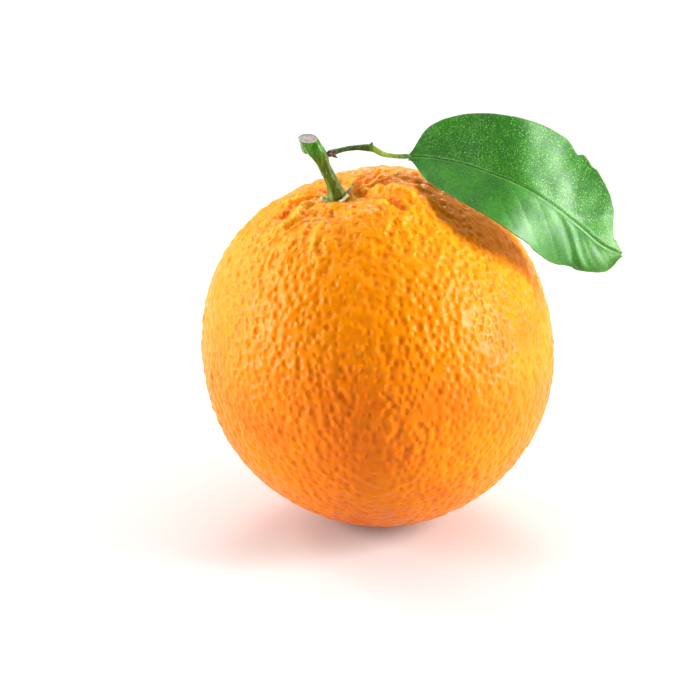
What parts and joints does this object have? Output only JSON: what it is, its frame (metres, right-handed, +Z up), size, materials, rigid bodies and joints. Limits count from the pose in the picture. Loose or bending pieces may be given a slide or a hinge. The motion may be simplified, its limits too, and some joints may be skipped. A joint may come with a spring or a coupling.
{
  "type": "orange",
  "caption": "Whole sweet orange as picked, with its calyx, a short cut stem, and a side twig that carries a leaf.",
  "frame": {"origin": "middle of the small flat spot that the fruit rests on, straight below the fruit's centre", "axes": "+Z up; +X towards the side that the leaf reaches out to; the stem end leans towards -X and a little towards -Y"},
  "size_m": [0.0966, 0.0819, 0.0985],
  "materials": {
    "rind": "satin",
    "calyx": "matte",
    "stem": "satin",
    "twig": "satin",
    "leaf": "satin"
  },
  "bodies": {
    "root": {"fruit": "rind", "calyx": "calyx", "stem": "stem", "twig": "twig", "leaf": "leaf"}
  },
  "joints": []
}
